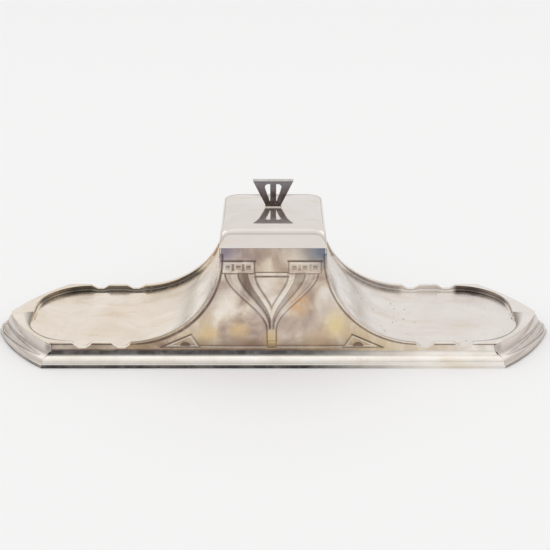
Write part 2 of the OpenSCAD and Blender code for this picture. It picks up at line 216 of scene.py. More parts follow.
def drawn_plate(name, points, thick, at=0.0):
    """A flat outline drawn in X and Z, filled, then given its thickness along Y."""
    pts = [(p[0], at, p[1]) for p in points]
    obj = first_point(name, pts[0])
    draw_on(pts)
    bpy.ops.mesh.select_all(action="SELECT")
    bpy.ops.mesh.edge_face_add()
    pull((0, thick, 0))
    bpy.ops.mesh.select_all(action="SELECT")
    bpy.ops.mesh.normals_make_consistent(inside=False)
    return place_applied(obj)


def tint(obj, rule, name="tarnish"):
    """Stores an amount for each point by its place on the piece: tarnish with painted shade and painted dark
    reflection, or a painted highlight.
    """
    data = obj.data
    layer = data.attributes.get(name) or data.attributes.new(name, "FLOAT", "POINT")
    for v in data.vertices:
        layer.data[v.index].value = min(1.0, max(0.0, rule(v.co.x / MM, v.co.y / MM, v.co.z / MM)))


def line_at(value, middle, half):
    """1 at the middle of a line, falling to 0 at its edges."""
    d = abs(value - middle) / half
    return max(0.0, 1 - d * d) if d < 1 else 0.0


def piece(obj, body, slot, material, *nodes):
    """Gives a finished piece its material and body, and hides the CAD nodes that it stands for. Its slot is not
    used.
    """
    obj.data.materials.clear()
    obj.data.materials.append(material)
    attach(obj, body)
    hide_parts(*nodes)


def lerp(a, b, t):
    return a + (b - a) * t


def ease(t):
    t = min(1.0, max(0.0, t))
    return t * t * (3 - 2 * t)


def along(points, t):
    """Value at a place on a line of (place, value) pairs, straight from pair to pair."""
    if t <= points[0][0]:
        return points[0][1]
    for (a, va), (b, vb) in zip(points, points[1:]):
        if t <= b:
            return lerp(va, vb, (t - a) / (b - a))
    return points[-1][1]


def curve_through(points, steps):
    """A smooth line through points, by Catmull-Rom."""
    out = []
    n = len(points)
    for k in range(n - 1):
        p0 = points[max(0, k - 1)]
        p1, p2 = points[k], points[k + 1]
        p3 = points[min(n - 1, k + 2)]
        for m in range(steps):
            t = m / steps
            out.append(tuple(0.5 * (2 * b + (c - a) * t + (2 * a - 5 * b + 4 * c - d) * t * t
                                    + (3 * b - a - 3 * c + d) * t ** 3) for a, b, c, d in zip(p0, p1, p2, p3)))
    out.append(tuple(points[-1]))
    return out


# ---------------- finishes

def new_node(tree, kind, *settings):
    """A new node, with its sockets set, or linked where the value is another node's output."""
    made = tree.nodes.new("ShaderNode" + kind)
    for socket, value in settings:
        if isinstance(value, bpy.types.NodeSocket):
            tree.links.new(value, made.inputs[socket])
        else:
            made.inputs[socket].default_value = value
    return made


def new_ramp(tree, fac, *stops):
    """A colour ramp, with each stop's place and its grey or colour."""
    node = new_node(tree, "ValToRGB", ("Fac", fac))
    el = node.color_ramp.elements
    while len(el) < len(stops):
        el.new(0.5)
    for e, (pos, col) in zip(el, stops):
        e.position = pos
        e.color = (col, col, col, 1) if isinstance(col, (int, float)) else (*col, 1)
    return node.outputs["Color"]


class Finish:
    """A material being wired: each method adds a node and gives back its output."""

    def __init__(self, name, *settings):
        self.mat = bpy.data.materials.new(name)
        self.mat.use_nodes = True
        self.tree = self.mat.node_tree
        self.tree.nodes.clear()
        self.shader = self.node("BsdfPrincipled", *settings)
        self.node("OutputMaterial", (0, self.shader.outputs[0]))
        self.co = self.node("TexCoord").outputs["Object"]

    def link(self, a, b):
        self.tree.links.new(a, b)

    def node(self, kind, *settings):
        return new_node(self.tree, kind, *settings)

    def ramp(self, fac, *stops):
        return new_ramp(self.tree, fac, *stops)

    def done(self, colour, rough, relief):
        for socket, value in (("Base Color", colour), ("Roughness", rough), ("Normal", relief)):
            self.link(value, self.shader.inputs[socket])
        return self.mat

    def spot(self, loc=(0, 0, 0), scale=(1, 1, 1), turn=(0, 0, 0)):
        return self.node("Mapping", ("Vector", self.co), ("Location", loc), ("Rotation", turn),
                         ("Scale", scale)).outputs[0]

    def noise(self, scale, detail=4, rough=0.5, warp=0.0, vec=None):
        return self.node("TexNoise", ("Vector", vec or self.co), ("Scale", scale), ("Detail", detail),
                         ("Roughness", rough), ("Distortion", warp)).outputs["Fac"]

    def cells(self, scale, vec=None):
        return self.node("TexVoronoi", ("Vector", vec or self.co), ("Scale", scale)).outputs["Distance"]

    def mix(self, fac, a, b):
        node = self.tree.nodes.new("ShaderNodeMix")
        node.data_type = "RGBA"
        for value, socket in ((fac, node.inputs[0]), (a, node.inputs[6]), (b, node.inputs[7])):
            if isinstance(value, (int, float)):
                socket.default_value = value
            elif isinstance(value, tuple):
                socket.default_value = (*value, 1)
            else:
                self.link(value, socket)
        return node.outputs[2]

    def maths(self, how, a, b):
        node = self.node("Math", (0, a), (1, b))
        node.operation = how
        return node.outputs[0]

    def times(self, a, b):
        return self.maths("MULTIPLY", a, b)

    def ball(self, centre, radius, squash=(1, 1, 1)):
        """1 inside a soft ball, falling to 0 at its edge."""
        scale = tuple(s / radius for s in squash)
        node = self.node("VectorMath", (0, self.spot(loc=tuple(-c * k for c, k in zip(centre, scale)),
                                                     scale=scale)))
        node.operation = "LENGTH"
        return self.ramp(node.outputs["Value"], (0.25, 1.0), (1.0, 0.0))

    def reach(self, axis, start, end):
        """0 at one place along an axis and 1 at another."""
        split = self.node("SeparateXYZ", (0, self.co))
        return self.node("MapRange", ("Value", split.outputs[axis]), ("From Min", start),
                         ("From Max", end)).outputs[0]

    def stored(self, name="tarnish"):
        """An amount that tint() stored on the piece."""
        node = self.node("Attribute")
        node.attribute_name = name
        return node.outputs["Fac"]

    def bump(self, height, strength, distance):
        return self.node("Bump", ("Height", height), ("Strength", strength), ("Distance", distance)).outputs[0]


def old_plate(name, pale, deep, dark, rough, cloud, pits=0.0, wear=0.15, fade=None, even=0.6, metal=1.0):
    """Old silver plate: warm clouds, hairline wear, small pits, and tarnish left in the hollows; on the plinth
    the stored amount also holds a painted dark reflection along the foot lip.
    """
    p = Finish(name, ("Metallic", metal))
    colour = p.mix(p.ramp(p.noise(cloud, 5, 0.6, 0.6), (0.35, 0.0), (0.70, 1.0)), pale, deep)
    streak = p.noise(60, 5, 0.65, 0.4, p.spot(scale=(0.45, 1.6, 1), turn=(0, 0, 0.25)))
    colour = p.mix(p.ramp(streak, (0.55, 0.0), (0.72, 0.45)), colour,
                   tuple(c * k for c, k in zip(deep, (0.92, 0.80, 0.62))))
    dull = p.ramp(p.noise(cloud * 2.3, 4, 0.6, 0.3), (0.3, rough * 0.6), (0.75, rough * 1.8))
    if pits:
        holes = p.ramp(p.cells(190, p.spot(loc=(0.3, 0.1, 0.2))), (0.0, 1.0), (0.07, 1.0), (0.12, 0.0))
        holes = p.times(holes, p.ramp(p.noise(40, 3, 0.5), (0.50, 0.0), (0.60, pits)))
        colour = p.mix(holes, colour, (0.14, 0.10, 0.08))
        dull = p.mix(holes, dull, (0.6, 0.6, 0.6))
    # The stored tarnish, which on the plinth also holds a painted dark reflection along the foot lip
    stored = p.times(p.stored(), p.ramp(p.noise(110, 4, 0.6, 0.5), (0.28, even), (0.55, 1.0)))
    if fade:
        stored = p.times(stored, p.ramp(p.reach("X", *fade), (0.0, 1.0), (1.0, 0.12)))
    colour = p.mix(stored, colour, p.mix(p.ramp(p.noise(75, 4, 0.6, 0.5), (0.35, 0.0), (0.65, 1.0)), dark,
                                         tuple(c * 1.5 for c in dark)))
    fine = p.noise(900, 3, 0.6, vec=p.spot(scale=(0.05, 1, 1), turn=(0, 0, 0.35)))
    cross = p.noise(700, 3, 0.6, vec=p.spot(scale=(1, 0.06, 1), turn=(0, 0, -0.5)))
    return p.done(colour, dull, p.bump(p.maths("ADD", fine, cross), wear, 0.00002))


left_plate = old_plate("left tray silver plate", (0.92, 0.84, 0.745), (0.80, 0.69, 0.56),
                       (0.085, 0.076, 0.064), 0.19, 26, pits=0.3, wear=0.04, even=0.95)
right_plate = old_plate("right tray silver plate", (0.87, 0.82, 0.775), (0.79, 0.73, 0.67), (0.10, 0.08, 0.07),
                        0.19, 30, pits=0.95, wear=0.04, even=0.95)
lid_plate = old_plate("lid silver plate", (0.82, 0.775, 0.735), (0.76, 0.70, 0.65), (0.20, 0.16, 0.14), 0.07,
                      22, wear=0.06, metal=0.9)
moulding_plate = old_plate("plinth silver plate", (0.97, 0.94, 0.89), (0.86, 0.79, 0.70),
                           (0.060, 0.057, 0.056), 0.13, 40, fade=(0.02, 0.09), even=0.85)
end_plate = old_plate("plinth end silver plate", (0.76, 0.70, 0.65), (0.66, 0.60, 0.54), (0.11, 0.095, 0.085),
                      0.16, 40)
hinge_plate = old_plate("hinge silver plate", (0.72, 0.68, 0.63), (0.52, 0.46, 0.41), (0.15, 0.12, 0.10), 0.2,
                        60)


# Clouds on the panels, with painted light: the pale patches at x 90, 126 and -120 along the foot are painted
# highlights, the dark brown one at -13, 13 a painted shadow. Place, size and squash in millimetres, strength,
# colour
PANEL_CLOUDS_AND_PAINTED_LIGHT = [((-20, 21), 8, 1.2, 0.9, (0.72, 0.50, 0.24)), ((-38, 19), 8, 1.2, 0.9, (0.74, 0.55, 0.30)),
           ((-26, 37), 8, 0.8, 0.9, (0.95, 0.88, 0.78)), ((-5, 47), 9, 1.0, 0.8, (0.93, 0.86, 0.76)),
           ((7, 37), 6, 0.6, 0.8, (0.97, 0.92, 0.85)), ((-10, 29), 7, 1.0, 0.75, (0.42, 0.30, 0.27)),
           ((8, 23), 9, 1.2, 0.75, (0.46, 0.33, 0.26)), ((28, 17), 12, 1.6, 0.7, (0.66, 0.50, 0.34)),
           ((36, 24), 8, 0.8, 0.85, (0.84, 0.68, 0.38)), ((-13, 13), 9, 2.0, 0.85, (0.27, 0.18, 0.13)),
           ((12, 64), 10, 2.0, 0.7, (0.86, 0.76, 0.64)), ((-12, 64), 10, 2.2, 0.7, (0.36, 0.27, 0.25)),
           ((-48, 12), 12, 2.0, 0.7, (0.50, 0.40, 0.26)), ((60, 12), 14, 2.4, 0.7, (0.90, 0.74, 0.50)),
           ((90, 12), 26, 2.6, 0.7, (0.95, 0.86, 0.72)), ((126, 12), 34, 3.0, 1.0, (0.96, 0.92, 0.86)),
           ((-120, 12), 34, 3.0, 0.9, (0.80, 0.74, 0.66))]


def panel_finish():
    """Plate with gold, tan, grey and violet clouds, a tan stain, darker top corners, painted highlights and
    painted shade.
    """
    p = Finish("stained silver plate", ("Metallic", 1.0))
    base = p.ramp(p.noise(42, 6, 0.6, 0.9), (0.30, (0.34, 0.25, 0.21)), (0.42, (0.58, 0.46, 0.37)),
                  (0.54, (0.84, 0.73, 0.60)), (0.70, (0.97, 0.91, 0.83)))

    def lay(mask, tone, strength=None):
        nonlocal base
        base = p.mix(mask if strength is None else p.times(mask, strength), base, tone)

    gold = p.ramp(p.noise(34, 4, 0.6, 0.8, p.spot(loc=(0.4, 0.2, 0.7))), (0.42, 0.0), (0.60, 0.8))
    lay(gold, (0.58, 0.43, 0.24), p.ramp(p.reach("Z", 0.046, 0.012), (0.0, 0.1), (1.0, 1.0)))
    lay(p.ramp(p.noise(30, 4, 0.55, 0.6, p.spot(loc=(0.9, 0.5, 0.1))), (0.50, 0.0), (0.68, 0.6)),
        (0.40, 0.30, 0.27))
    cloudy = p.ramp(p.noise(90, 5, 0.6, 0.7), (0.30, 0.45), (0.55, 1.0))
    # Lays the clouds, with the painted highlights and the painted shadow among them
    for centre, size, squash, strength, tone in PANEL_CLOUDS_AND_PAINTED_LIGHT:
        patch = p.ball((centre[0] * MM, 0, centre[1] * MM), size * MM, (1, 0, squash))
        lay(p.times(patch, cloudy), tone, strength)
    # Brown along the foot, thinner towards the ends
    foot = p.ramp(p.reach("Z", 0.0185, 0.0125), (0.0, 0.0), (1.0, 0.75))
    foot = p.times(foot, p.maths("SUBTRACT", 1.0, p.ramp(p.reach("X", 0.03, 0.075), (0.0, 0.0), (1.0, 0.85))))
    lay(p.times(foot, p.ramp(p.noise(70, 4, 0.6), (0.3, 0.4), (0.6, 1.0))), (0.26, 0.18, 0.12))
    # Dull along the top, blue grey in its right corner and violet in its left
    lay(p.ramp(p.reach("Z", BLOCK_Z - 0.008, BLOCK_Z), (0.0, 0.0), (1.0, 0.4)), (0.42, 0.34, 0.30))
    lay(p.ball((BLOCK_WID, 0, BLOCK_Z - 0.002), 0.019, (1, 0, 1.6)), (0.17, 0.21, 0.28), 0.9)
    lay(p.ball((-BLOCK_WID, 0, BLOCK_Z - 0.002), 0.017, (1, 0, 1.6)), (0.27, 0.22, 0.30), 0.85)
    # A tan stain right of the middle, a painted highlight along the ribbons' edges, and a gilt boss at their
    # foot
    stain = p.ball((0.0140, 0, 0.0375), 0.0095, (1, 0, 0.85))
    lay(p.times(stain, p.ramp(p.noise(150, 3, 0.6, 0.5), (0.30, 0.4), (0.5, 1.0))), (0.74, 0.46, 0.24), 0.9)
    painted_highlight = p.times(p.stored("painted_highlight"), p.ramp(p.noise(120, 4, 0.6), (0.30, 0.45), (0.5, 1.0)))
    lay(painted_highlight, (0.93, 0.85, 0.76), 0.62)
    lay(p.ball((-0.0009, 0, 0.0165), 0.0065, (1, 0, 0.8)), (0.66, 0.47, 0.17), 0.6)
    # Tarnish in the relief's outlines, with painted shade in the valleys between the ribbons
    lay(p.times(p.stored(), p.ramp(p.noise(140, 4, 0.6), (0.25, 0.7), (0.5, 1.0))), (0.13, 0.085, 0.075))
    return p.done(base, p.ramp(p.noise(48, 5, 0.6), (0.3, 0.16), (0.75, 0.34)),
                  p.bump(p.noise(320, 5, 0.65), 0.10, 0.00008))


def dark_finish():
    """Heavily tarnished plate, violet grey above and brown black below, with a painted highlight on its top
    face.
    """
    p = Finish("tarnished silver plate", ("Metallic", 1.0))
    high = knob_box[1][2]
    # The last stop is a painted highlight on the top face
    base = p.ramp(p.reach("Z", high - 0.0155, high), (0.0, (0.055, 0.042, 0.036)),
                  (0.45, (0.085, 0.065, 0.058)), (0.68, (0.17, 0.145, 0.15)), (0.90, (0.21, 0.205, 0.225)),
                  (0.972, (0.17, 0.16, 0.16)), (0.985, (0.62, 0.60, 0.55)))
    base = p.mix(p.ramp(p.noise(230, 5, 0.65, 0.6), (0.42, 0.0), (0.70, 0.5)), base, (0.30, 0.24, 0.25))
    return p.done(base, p.ramp(p.noise(300, 4, 0.6), (0.3, 0.22), (0.7, 0.42)),
                  p.bump(p.noise(700, 4, 0.6), 0.2, 0.00008))


def bare_finish(name, pale, deep, rough):
    p = Finish(name, ("Metallic", 1.0))
    return p.done(p.mix(p.ramp(p.noise(80, 5, 0.6, 0.5), (0.35, 0.0), (0.7, 1.0)), pale, deep),
                  p.ramp(p.noise(140, 4, 0.6), (0.3, rough * 0.8), (0.7, rough * 1.4)),
                  p.bump(p.noise(600, 4, 0.6), 0.15, 0.00005))


def glass_finish():
    p = Finish("clear pressed glass", ("Transmission Weight", 1.0), ("IOR", 1.5))
    return p.done(p.mix(p.ramp(p.noise(60, 3, 0.5), (0.4, 0.0), (0.7, 1.0)), (0.90, 0.97, 0.96),
                        (0.78, 0.90, 0.88)),
                  p.ramp(p.noise(200, 3, 0.5), (0.4, 0.03), (0.7, 0.10)),
                  p.bump(p.noise(150, 2, 0.5), 0.06, 0.0001))


def baize_finish():
    p = Finish("green baize", ("Sheen Weight", 0.4), ("Sheen Roughness", 0.5))
    nap = p.noise(1800, 6, 0.7)
    tone = p.mix(p.ramp(p.noise(25, 4, 0.6), (0.35, 0.0), (0.7, 1.0)), (0.045, 0.15, 0.085), (0.08, 0.21, 0.12))
    return p.done(p.mix(p.ramp(nap, (0.35, 0.0), (0.65, 1.0)), tone, (0.12, 0.27, 0.17)),
                  p.ramp(nap, (0.3, 0.85), (0.7, 1.0)), p.bump(nap, 0.6, 0.0002))


stained_plate = panel_finish()
dark_plate = dark_finish()
bare_brass = bare_finish("bare brass", (0.66, 0.53, 0.28), (0.40, 0.30, 0.16), 0.32)
pot_glass = glass_finish()
baize_cloth = baize_finish()


# ---------------- trays

RESTS = (89 * MM, 112 * MM)
REST_DEEP = 2.75 * MM
REST_HALF, REST_SLOPE = 6.2, 4.2
WALL = 2 * SHEET
FOOT_FILLET = 1.3 * MM
RIM_DROP = 0.35 * MM
WELL_DEEP = 5.2
DISH, DISH_REACH = 1.4, 14.0


def pen_rest(x):
    """Depth of the pen rests below the rim at a distance from the middle."""
    for c in RESTS:
        d = abs(x - c) / MM
        if d < REST_HALF:
            return REST_DEEP * min(1.0, max(0.0, (REST_HALF - d) / REST_SLOPE))
    return 0.0


def rim_height(x):
    """Height of the panel's rim at a distance from the middle."""
    if x <= BLOCK_WID + 1e-7:
        return BLOCK_Z
    if x < SWEEP_X:
        z = SWEEP_Z - (SWEEP_Z - RIM_Z) * math.sqrt(max(0.0, 1 - ((SWEEP_X - x) / (SWEEP_X - BLOCK_WID)) ** 2))
    else:
        z = RIM_Z
    return z - pen_rest(x) - RIM_DROP


def sweep_floor(a):
    """Floor line at sweep angle a: 0 is the flat end, 90 degrees is on the block side."""
    x = SWEEP_X - (SWEEP_X - BLOCK_WID) * math.sin(a)
    z = FLOOR_TOP_Z - (FLOOR_TOP_Z - FLOOR_Z) * math.cos(a)
    nx = math.sin(a) * (FLOOR_TOP_Z - FLOOR_Z)
    nz = math.cos(a) * (SWEEP_X - BLOCK_WID)
    n = math.hypot(nx, nz)
    return x, z, nx / n, nz / n


def rim_above(x, z, nx, nz):
    """Distance from the floor to the rim curve, along the floor's normal."""
    lo, hi = 0.0, 0.008
    for _ in range(30):
        h = (lo + hi) / 2
        px, pz = x + h * nx, z + h * nz
        if px >= SWEEP_X:
            under = pz < RIM_Z
        else:
            out_x, out_z = (px - SWEEP_X) / (SWEEP_X - BLOCK_WID), (pz - SWEEP_Z) / (SWEEP_Z - RIM_Z)
            under = out_x ** 2 + out_z ** 2 > 1
        if under:
            lo = h
        else:
            hi = h
    return (lo + hi) / 2


CX = WELL_END - WELL_CORNER
CY = face(RIM_Z) - WALL - WELL_CORNER
TOP_ROWS, SWEEP_ROWS, FLAT_ROWS, TURN_ROWS, END_ROWS = 8, 84, 96, 56, 12
TRAY_ROWS = TOP_ROWS + SWEEP_ROWS + FLAT_ROWS + TURN_ROWS + END_ROWS
OUTLINE_CORNER = TOP_ROWS + SWEEP_ROWS + FLAT_ROWS + 20


def deck_edge(i):
    """Outline of the deck beyond the straight part, for a row of the tray."""
    first = TOP_ROWS + SWEEP_ROWS + FLAT_ROWS
    if i <= OUTLINE_CORNER:
        t = (i - first) / (OUTLINE_CORNER - first)
        return lerp(CX, CORNER_X, t), -face(RIM_Z)
    t = (i - OUTLINE_CORNER) / (TRAY_ROWS - OUTLINE_CORNER)
    a0 = math.atan2(-face(RIM_Z) - END_CY, CORNER_X + 0.0006 - END_CX)
    a1 = math.asin(-END_CY / DECK_R)
    a = lerp(a0, a1, t)
    return END_CX + DECK_R * math.cos(a), END_CY + DECK_R * math.sin(a)


LIP = [(0.0, -0.90), (0.0, -0.45), (0.05, -0.18), (0.18, -0.05), (0.45, 0.0), (1.2, 0.0),
       (1.95, 0.0), (2.2, -0.06), (2.34, -0.22), (2.4, -0.5)]
FILLET = 10
FLOOR_COLS = 44
HALF_COLS = len(LIP) + 2 + FILLET
LIP_OUT, LIP_IN = 0.45 * MM, 1.95 * MM      # the flat on top of the lip lies between these


def section(H, r):
    """Half of a tray's cross-section: (distance in from the panel face, height above the floor)."""
    pts = [(w * MM, H + h * MM) for w, h in LIP]
    start = H - 0.5 * MM
    base = DISH * H / WELL_DEEP
    for k in (1, 2):
        pts.append((WALL, lerp(start, base + r, k / 3)))
    for k in range(FILLET + 1):
        f = math.pi / 2 * k / FILLET
        pts.append((WALL + r * (1 - math.cos(f)), base + r * (1 - math.sin(f))))
    return pts


def tray_row(i):
    """Points of one half row, from the rim in to the floor."""
    a_top, a_sweep, a_flat = TOP_ROWS, TOP_ROWS + SWEEP_ROWS, TOP_ROWS + SWEEP_ROWS + FLAT_ROWS
    out = []
    if i < a_top:
        z = lerp(BLOCK_Z, FLOOR_TOP_Z, i / a_top)
        for w, h in section(0.0001 * MM, 0.0001 * MM):
            out.append((BLOCK_WID + min(h, 0.0), -(face(z) - w), z))
        return out
    if i <= a_sweep:
        x, z, nx, nz = sweep_floor(math.pi / 2 * (1 - (i - a_top) / SWEEP_ROWS))
        H = rim_above(x, z, nx, nz) - pen_rest(x)
        r = min(FOOT_FILLET, max(0.00005 * MM, 0.5 * H))
        for w, h in section(H, r):
            px, pz = x + h * nx, z + h * nz
            out.append((px, -(face(pz) - w), pz))
        return out
    if i <= a_flat:
        x = lerp(SWEEP_X, CX, (i - a_sweep) / FLAT_ROWS)
        H = RIM_Z - FLOOR_Z - pen_rest(x)
        r = min(FOOT_FILLET, 0.5 * H)
        for w, h in section(H, r):
            z = FLOOR_Z + h
            out.append((x, -(face(z) - w), z))
        return out
    H = RIM_Z - FLOOR_Z
    r = FOOT_FILLET
    if i <= a_flat + TURN_ROWS:
        a = -math.pi / 2 * (1 - (i - a_flat) / TURN_ROWS)
        base, u = (CX, -CY), (math.cos(a), math.sin(a))
    else:
        base = (CX, -CY * (1 - (i - a_flat - TURN_ROWS) / END_ROWS))
        u = (1.0, 0.0)
    ox, oy = deck_edge(i)
    for k, (w, h) in enumerate(section(H, r)):
        z = FLOOR_Z + h
        g = WELL_CORNER + face(z) - face(RIM_Z) - (w - WALL)
        if w >= LIP_IN:
            out.append((base[0] + u[0] * g, base[1] + u[1] * g, z))
        else:
            g = WELL_CORNER + WALL - LIP_IN
            ix, iy = base[0] + u[0] * g, base[1] + u[1] * g
            dist = max(1e-6, math.hypot(ix - ox, iy - oy))
            if w <= LIP_OUT:
                t = w / dist
            else:
                t = lerp(LIP_OUT / dist, 1.0, (w - LIP_OUT) / (LIP_IN - LIP_OUT))
            if k == 0:
                z = RIM_Z - SHEET
            out.append((lerp(ox, ix, t), lerp(oy, iy, t), z))
    return out


def inside_rim(x, y, z):
    """How far inside the well's wall a point lies, in millimetres."""
    ax, ay = abs(x), abs(y)
    if ax > CX / MM:
        return 30.0 + (face(z * MM) - face(RIM_Z)) / MM - math.hypot(ax - CX / MM, max(0.0, ay - CY / MM))
    return face(z * MM) / MM - 2.4 - ay


def floor_dish(i):
    """Depth of the dished floor on a row, and the way it goes."""
    if i < TOP_ROWS:
        return 0.0, (1.0, 0.0)
    if i > TOP_ROWS + SWEEP_ROWS:
        x = lerp(SWEEP_X, CX, min(1.0, (i - TOP_ROWS - SWEEP_ROWS) / FLAT_ROWS))
        return DISH * (RIM_Z - FLOOR_Z - pen_rest(x)) / MM / WELL_DEEP, (0.0, 1.0)
    x, z, nx, nz = sweep_floor(math.pi / 2 * (1 - (i - TOP_ROWS) / SWEEP_ROWS))
    return DISH * (rim_above(x, z, nx, nz) - pen_rest(x)) / MM / WELL_DEEP, (nx, nz)


ROWS = [tray_row(i) for i in range(TRAY_ROWS + 1)]
DISHES = [floor_dish(i) for i in range(TRAY_ROWS + 1)]
TRAY_COLS = 2 * HALF_COLS + FLOOR_COLS


def tray_point(i, j):
    row = ROWS[i]
    if j <= HALF_COLS:
        return row[j]
    if j >= HALF_COLS + FLOOR_COLS:
        x, y, z = row[TRAY_COLS - j]
        return x, -y, z
    # The floor dips from the foot of the walls to its flat middle
    x, y, z = row[HALF_COLS]
    y = lerp(y, -y, (j - HALF_COLS) / FLOOR_COLS)
    deepest, (nx, nz) = DISHES[i]
    in_from_wall = max(0.0, inside_rim(x / MM, y / MM, z / MM) - FOOT_FILLET / MM)
    dip = deepest * (1 - max(0.0, 1 - in_from_wall / DISH_REACH) ** 2) * MM
    return x - nx * dip, y, z - nz * dip


def wall_tarnish(back_sweep, back_mid, back_end, corner, front_lip):
    """Dark wall inside a tray: up the sweep, between the rests, at the end and round the corner."""
    def rule(x, y, z):
        ax = abs(x)
        inside = inside_rim(x, y, z)
        if y < 0 and 31.5 < ax < 84 and inside < -1.7:
            return front_lip
        if y < 0 and ax > 116 and -0.5 < inside <= 0.05 and z > 13.4:
            return 0.8
        if inside < -0.4 or ax < 44:
            return 0.0
        if ax <= SWEEP_X / MM:
            on_wall = inside < 1.3 and z < rim_height(ax * MM) / MM - 0.2
        else:
            on_wall = inside < 1.5 and z < 13.9
        if not on_wall:
            return 0.0
        if y > 0:
            here = along([(44, 0.0), (50, back_sweep), (80, back_sweep), (84, back_mid), (116, back_mid),
                          (119, back_end), (130, back_end), (138, corner)], ax)
        else:
            here = 0.25 if ax < 120 else 0.12
        if ax > 146:
            here *= ease((y - 15) / 7)
        return here * (1.0 if z > 9.35 else 0.8)
    return rule


right = pressed_sheet("right_tray_pressing", TRAY_ROWS, TRAY_COLS, tray_point)
mid = min(right.data.polygons, key=lambda f: (f.center - Vector((0.11, 0, FLOOR_Z))).length)
face_out(right, mid.normal.z < 0)
finish_modifier(right, "SOLIDIFY", thickness=TRAY_WALL, offset=-1.0, use_even_offset=False)
smooth(right, 50)
left = mirrored(right, "left_tray_pressing", "X")
tint(left, wall_tarnish(0.92, 0.85, 1.0, 0.8, 0.75))
tint(right, wall_tarnish(0.55, 0.15, 1.0, 0.8, 0.45))
piece(right, "stand", "bright_plate", right_plate, "right_tray")
piece(left, "stand", "bright_plate", left_plate, "left_tray")


# ---------------- plinth mouldings

SIDE_LINE = [(0, 0), (0, 1.0), (0.02, 1.6)] + \
    curve_through([(0.04, 1.85), (0.2, 2.1), (0.45, 2.25)], 3) + \
    curve_through([(0.52, 2.4), (0.62, 3.4), (0.95, 4.6), (1.5, 5.6), (2.2, 6.4), (2.75, 6.72)], 6) + \
    [(2.82, 6.78), (2.86, 6.92)] + \
    curve_through([(2.95, 7.0), (3.5, 7.25), (4.2, 7.8), (4.7, 8.5), (4.92, 9.0)], 5) + [(5.0, 9.2)]
END_LINE = [(0, 0), (0, 1.0), (0.02, 1.6)] + \
    curve_through([(0.04, 1.85), (0.2, 2.15), (0.5, 2.35)], 3) + \
    curve_through([(0.58, 2.5), (0.8, 3.4), (1.5, 4.8), (2.6, 6.2), (3.9, 7.35), (4.9, 8.0)], 9) + \
    curve_through([(5.0, 8.1), (5.35, 8.75), (5.9, 9.9), (6.5, 11.0), (7.2, 12.1), (7.62, 12.7)],
                  5) + [(7.7, 12.98)]

reach = HALF_STRAIGHT + 2 * MM
line = [(-reach, -(HALF_DEP - d * MM), z * MM) for d, z in SIDE_LINE]
front = first_point("front_plinth_moulding", line[0])
draw_on(line)
pull((2 * reach, 0, 0))
cut((HALF_STRAIGHT, -HALF_DEP, 0), (1, MITRE, 0))
cut((-HALF_STRAIGHT, -HALF_DEP, 0), (-1, MITRE, 0))
bpy.ops.mesh.select_all(action="SELECT")
bpy.ops.mesh.remove_doubles(threshold=0.00001)
place_applied(front)
face_out(front, sum(f.normal.y for f in front.data.polygons) > 0)
finish_modifier(front, "SOLIDIFY", thickness=MOULDING_WALL, offset=-1.0)
smooth(front, 35)


def side_tarnish(x, y, z):
    hollow = line_at(z, 8.3, 1.75)
    # The hollow and the line at 3 mm are tarnish; the foot lip below 2.15 mm is a painted dark reflection.
    painted_lip_reflection = 1.0 if z < 2.15 else 0.0
    return max(min(1.0, 1.25 * hollow), painted_lip_reflection, 0.35 * line_at(z, 3.0, 0.9))


tint(front, side_tarnish)
back = mirrored(front, "back_plinth_moulding", "Y")
piece(front, "stand", "moulding_plate", moulding_plate, "front_moulding")
piece(back, "stand", "moulding_plate", moulding_plate, "back_moulding")

LEAF_FROM, LEAF_TO = 0.055, 0.93


def leaf_form(x, y):
    """Incised leaf on the broad band of an end: returns the groove and the sunk inside, both 0 to 1."""
    x, y = abs(x), -abs(y)
    r = math.hypot(x - END_CX / MM, y - END_CY / MM)
    d = END_R / MM - r
    if not 0.6 < d < 5.2:
        return 0.0, 0.0
    a = math.atan2(y - END_CY / MM, x - END_CX / MM)
    a_tip = math.asin(-END_CY / END_R)
    a_end = math.atan2(-HALF_DEP - END_CY, HALF_STRAIGHT - END_CX)
    s = (a - a_tip) / (a_end - a_tip)
    t = (s - LEAF_FROM) / (LEAF_TO - LEAF_FROM)
    if not 0 < t < 1:
        return 0.0, 0.0
    half = 1.85 * (1 - t) ** 0.6 * min(1.0, t / 0.06) ** 0.5
    off = abs(d - (2.75 + 0.35 * t)) - half
    groove = max(0.0, 1 - abs(off) / 0.42) ** 0.8 * (1 - 0.75 * max(0.0, (t - 0.6) / 0.4))
    inside = min(1.0, max(0.0, -off / 0.5))
    return groove, inside


tip_turn = math.asin(-END_CY / (END_R - END_BAND))
low_turn = math.atan2(-HALF_DEP - END_CY, HALF_STRAIGHT - END_CX)
start_turn, end_turn = tip_turn + 0.05, low_turn - 0.14
line = [(END_CX + (END_R - d * MM) * math.cos(end_turn), END_CY + (END_R - d * MM) * math.sin(end_turn),
         z * MM) for d, z in END_LINE]
quarter = first_point("right_plinth_quarter", line[0])
draw_on(line)
bpy.ops.mesh.select_all(action="SELECT")
bpy.ops.mesh.spin(steps=190, angle=end_turn - start_turn, center=(END_CX, END_CY, 0), axis=(0, 0, 1))
cut((HALF_STRAIGHT, -HALF_DEP, 0), (-1, -MITRE, 0))
cut((0, 0, 0), (0, 1, 0))
